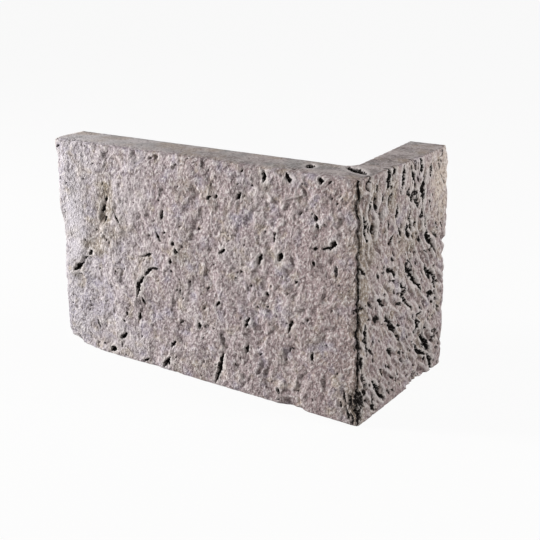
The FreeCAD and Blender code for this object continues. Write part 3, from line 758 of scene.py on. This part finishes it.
castConcrete = {
    # size in mm, detail and roughness; the grain and the fine sand are drawn coarser than sand,
    # so that they show
    "patterns": {
        "stain": (46.0, 3, 0.55), "patch": (19.0, 3, 0.55), "rust": (27.0, 4, 0.55), "damp": (33.0, 4, 0.55),
        "slate": (15.0, 2, 0.5), "ochre": (12.0, 2, 0.5),
        "grainAndShade": (2.2, 3, 0.6), "fine": (1.2, 1, 0.5),
    },
    "tornPatterns": ("grainAndShade",),
    "tornDirection": (0.4, -0.4, 0.82), "tornStretch": 1.6,  # crumbs are long this way on both rock faces
    # pattern, its values at no share and at the full share, the full share, and the colour that it brings;
    # along is the distance in metres from the wall's corner towards the short face
    "rockGround": "#95868a",
    "rock": (
        ("patch", 0.37, 0.63, 1.0, "#ae9fa1"),
        ("stain", 0.5, 0.68, 0.7, "#c0b7b9"),
        ("stain", 0.46, 0.32, 0.5, "#857a7a"),
        # partly a cooler tone and partly painted light: lighter towards the long leg's end
        ("along", -0.19, -0.29, 0.65, "#c0bec6"),
        ("along", -0.16, 0.02, 0.45, "#a08884"),
        ("rust", 0.56, 0.7, 0.55, "#a8998a"),
        ("damp", 0.58, 0.72, 0.6, "#87806c"),
        ("slate", 0.54, 0.72, 0.6, "#a29cae"),
        ("ochre", 0.56, 0.74, 0.6, "#b3a48c"),
        # olive stains, with painted shade round holes and along the valleys
        ("grimeAndShade", 0.0, 1.0, 0.7, "#857861"),
        ("cream", 0.0, 1.0, 0.8, "#d3c3b4"),
        # grain and fine sand: their dark tints follow the hollows of the bump, as painted shade, and their
        # pale tints its tops, as painted highlight, over the sand's own tone
        ("grainAndShade", 0.48, 0.34, 0.82, "#5f5453"),
        ("grainAndShade", 0.52, 0.64, 0.76, "#ddd6d4"),
        ("fine", 0.56, 0.72, 0.32, "#e2dbd9"),
        ("fine", 0.43, 0.28, 0.42, "#574c4b"),
        # painted light on the proud lobe at the far end of the long face
        ("litPatch", 0.0, 1.0, 0.5, "#cbc6cb"),
        # painted highlight on crests and painted shade in hollows
        ("reliefShading", 0.1, 0.9, 0.6, "#ddd6d4"),
        ("reliefShading", -0.15, -1.3, 0.65, "#5f5453"),
    ),
    "bedGround": "#807674",
    "bed": (
        ("patch", 0.4, 0.58, 1.0, "#b3a8a6"),
        ("along", -0.1, -0.29, 1.0, "#d0cacb"),
        ("rust", 0.5, 0.62, 0.6, "#a3917f"),
        ("damp", 0.5, 0.64, 0.6, "#8d8d8c"),
        # grain and fine sand: their dark tints follow the hollows of the bump, as painted shade, and their
        # pale tints its tops, as painted highlight, over the sand's own tone
        ("grainAndShade", 0.46, 0.32, 0.7, "#655b5a"),
        ("grainAndShade", 0.54, 0.66, 0.6, "#cfc7c5"),
        ("fine", 0.5, 0.75, 0.3, "#d5cdcb"),
        ("fine", 0.45, 0.25, 0.35, "#655a59"),
        # painted highlight on what stands out of the bed
        ("reliefShading", 0.15, 0.9, 0.6, "#d5cdcb"),
        # painted shade round the bed's holes and cracks
        ("grimeAndShade", 0.2, 0.8, 0.4, "#7d7874"),
    ),
    # painted shade: holes, cracks and the open arris crease are painted this near black
    "shadeInHoles": "#150f0d",
    "fray": {"From Min": 0.35, "From Max": 0.65, "To Min": 1.4, "To Max": 0.55},  # of a rim, by the grain
    "rim": {"From Min": 0.35, "From Max": 0.75},    # from sound stone to the painted black of shade
    "grainBump": {"To Min": 0.2, "To Max": 0.9},    # on the beds and on the rock
    "fineBump": 0.3,
    "bumpHeight": 2.0,                              # mm
    "roughness": 0.92, "specular": 0.25,
}


def castConcreteMaterial():
    # Concrete with iron-oxide tint and dry sand, cast wet in a rubber mould of a split stone: matt, with
    # pale crumbs and dark gaps between them, partly the sand's tone and partly painted highlight and shade,
    # and with holes and cracks painted black as shade; the beds are smoother laitance.
    look = castConcrete
    material = bpy.data.materials.new("castConcrete")
    material.use_nodes = True
    tree = material.node_tree
    tree.nodes.clear()
    place = addNode(tree, "ShaderNodeTexCoord").outputs["Object"]
    turn = Vector(upward).rotation_difference(Vector(look["tornDirection"])).to_euler()
    stretch = {"Vector": place, "Rotation": turn, "Scale": (1, 1, look["tornStretch"])}
    torn = addNode(tree, "ShaderNodeMapping", stretch, vector_type="TEXTURE").outputs["Vector"]

    patterns = {"along": addNode(tree, "ShaderNodeSeparateXYZ", {"Vector": place}).outputs["X"]}
    for name in markNames:
        patterns[name] = addNode(tree, "ShaderNodeAttribute", attribute_name=name).outputs["Fac"]
    for name, (size, detail, roughness) in look["patterns"].items():
        vector = torn if name in look["tornPatterns"] else place
        inputs = {"Vector": vector, "Scale": 1 / (size * mm), "Detail": detail, "Roughness": roughness}
        patterns[name] = addNode(tree, "ShaderNodeTexNoise", inputs).outputs["Fac"]

    colours = {"rock": hexColour(look["rockGround"]), "bed": hexColour(look["bedGround"])}
    for name in colours:
        for pattern, start, stop, full, tint in look[name]:
            inputs = {"Value": patterns[pattern], "From Min": start, "From Max": stop, "To Max": full}
            share = addNode(tree, "ShaderNodeMapRange", inputs).outputs["Result"]
            inputs = {mixShare: share, mixUnder: colours[name], mixOver: hexColour(tint)}
            colours[name] = addNode(tree, "ShaderNodeMix", inputs, data_type="RGBA").outputs[mixResult]
    inputs = {mixShare: patterns["rock"], mixUnder: colours["bed"], mixOver: colours["rock"]}
    sound = addNode(tree, "ShaderNodeMix", inputs, data_type="RGBA").outputs[mixResult]
    inputs = {"Value": patterns["grainAndShade"], **look["fray"]}
    fray = addNode(tree, "ShaderNodeMapRange", inputs).outputs["Result"]
    inputs = {0: patterns["shadeInHoles"], 1: fray}
    # painted shade: the holes' mark, frayed by the grain, blends the colour to near black
    gap = addNode(tree, "ShaderNodeMath", inputs, operation="MULTIPLY").outputs[0]
    share = addNode(tree, "ShaderNodeMapRange", {"Value": gap, **look["rim"]}).outputs["Result"]
    inputs = {mixShare: share, mixUnder: sound, mixOver: hexColour(look["shadeInHoles"])}
    colour = addNode(tree, "ShaderNodeMix", inputs, data_type="RGBA").outputs[mixResult]

    inputs = {"Value": patterns["rock"], **look["grainBump"]}
    share = addNode(tree, "ShaderNodeMapRange", inputs).outputs["Result"]
    inputs = {0: patterns["grainAndShade"], 1: share}
    crumbs = addNode(tree, "ShaderNodeMath", inputs, operation="MULTIPLY").outputs[0]
    inputs = {0: patterns["fine"], 1: look["fineBump"], 2: crumbs}
    rough = addNode(tree, "ShaderNodeMath", inputs, operation="MULTIPLY_ADD").outputs[0]
    inputs = {"Height": rough, "Strength": 1.0, "Distance": look["bumpHeight"] * mm}
    bump = addNode(tree, "ShaderNodeBump", inputs).outputs["Normal"]
    inputs = {"Base Color": colour, "Roughness": look["roughness"], "Normal": bump}
    inputs["Specular IOR Level"] = look["specular"]
    surface = addNode(tree, "ShaderNodeBsdfPrincipled", inputs).outputs["BSDF"]
    addNode(tree, "ShaderNodeOutputMaterial", {"Surface": surface})
    return material


stone = castQuoin()
stone.data.materials.clear()
stone.data.materials.append(castConcreteMaterial())
print("stone cast and coloured")

studio = {
    "floorColour": "#cfcecb", "floorReach": 12.0,
    "white": "#ffffff", "floorGlow": 0.94,                         # share of white in the floor that is seen
    "keyAt": (-1.5, -0.75, 0.6), "keySize": 0.3, "keyPower": 43,   # metres and watts
    "sideAt": (1.05, 0.3, 0.7), "sideSize": 0.4, "sidePower": 11.5,
    "aim": (-0.09, 0.0, 0.1),
    "skyLight": 0.1, "skySeen": 1.0,
}


def studioLight(name, at, size, power):
    data = bpy.data.lights.new(name, "AREA")
    data.size = size
    data.energy = power
    light = bpy.data.objects.new(name, data)
    light.location = at
    light.rotation_euler = (Vector(studio["aim"]) - Vector(at)).to_track_quat("-Z", "Y").to_euler()
    bpy.context.collection.objects.link(light)


def seenRay(tree):
    # one for rays that reach the eye straight or by way of gloss or glass
    path = addNode(tree, "ShaderNodeLightPath").outputs
    inputs = {0: path["Is Camera Ray"], 1: path["Is Glossy Ray"]}
    seen = addNode(tree, "ShaderNodeMath", inputs, operation="MAXIMUM").outputs[0]
    inputs = {0: seen, 1: path["Is Transmission Ray"]}
    return addNode(tree, "ShaderNodeMath", inputs, operation="MAXIMUM").outputs[0]


def paleFloor():
    mesh = bpy.data.meshes.new("floor")
    reach = studio["floorReach"]
    corners = [(-reach, -reach, 0), (reach, -reach, 0), (reach, reach, 0), (-reach, reach, 0)]
    mesh.from_pydata(corners, [], [(0, 1, 2, 3)])
    floor = bpy.data.objects.new("floor", mesh)
    bpy.context.collection.objects.link(floor)
    material = bpy.data.materials.new("palePaper")  # matt paper that also glows, so that it looks white
    material.use_nodes = True
    tree = material.node_tree
    tree.nodes.clear()
    paper = addNode(tree, "ShaderNodeBsdfDiffuse", {"Color": hexColour(studio["floorColour"])}).outputs[0]
    inputs = {"Color": hexColour(studio["white"]), "Strength": 1.0}
    white = addNode(tree, "ShaderNodeEmission", inputs).outputs[0]
    inputs = {0: seenRay(tree), 1: studio["floorGlow"]}
    share = addNode(tree, "ShaderNodeMath", inputs, operation="MULTIPLY").outputs[0]
    surface = addNode(tree, "ShaderNodeMixShader", {0: share, 1: paper, 2: white}).outputs[0]
    addNode(tree, "ShaderNodeOutputMaterial", {"Surface": surface})
    mesh.materials.append(material)


def studioSky():
    world = bpy.data.worlds.new("studio")
    bpy.context.scene.world = world
    world.use_nodes = True
    tree = world.node_tree
    tree.nodes.clear()
    inputs = {"Value": seenRay(tree), "To Min": studio["skyLight"], "To Max": studio["skySeen"]}
    strength = addNode(tree, "ShaderNodeMapRange", inputs).outputs["Result"]
    inputs = {"Color": hexColour(studio["white"]), "Strength": strength}
    sky = addNode(tree, "ShaderNodeBackground", inputs).outputs[0]
    addNode(tree, "ShaderNodeOutputWorld", {"Surface": sky})


view = {
    "at": (365.3, -633.6, 364.1),                                # mm
    "azimuth": 35.164, "tiltDown": 18.752, "roll": -0.852,       # degrees
    "lens": 64.3, "sensor": 36,                                  # mm
    "nearest": 0.01,                                             # metres
}


def photoCamera():
    data = bpy.data.cameras.new("camera")
    data.sensor_width = view["sensor"]
    data.lens = view["lens"]
    data.clip_start = view["nearest"]
    camera = bpy.data.objects.new("camera", data)
    turn = Matrix.Rotation(math.radians(view["azimuth"]), 4, "Z")
    turn @= Matrix.Rotation(math.radians(90 - view["tiltDown"]), 4, "X")
    turn @= Matrix.Rotation(math.radians(view["roll"]), 4, "Z")
    camera.matrix_world = Matrix.Translation(Vector(view["at"]) * mm) @ turn
    bpy.context.collection.objects.link(camera)
    bpy.context.scene.camera = camera


studioLight("key", studio["keyAt"], studio["keySize"], studio["keyPower"])
studioLight("side", studio["sideAt"], studio["sideSize"], studio["sidePower"])
paleFloor()
studioSky()
photoCamera()
bpy.context.scene.view_settings.view_transform = "Standard"
print("studio set")
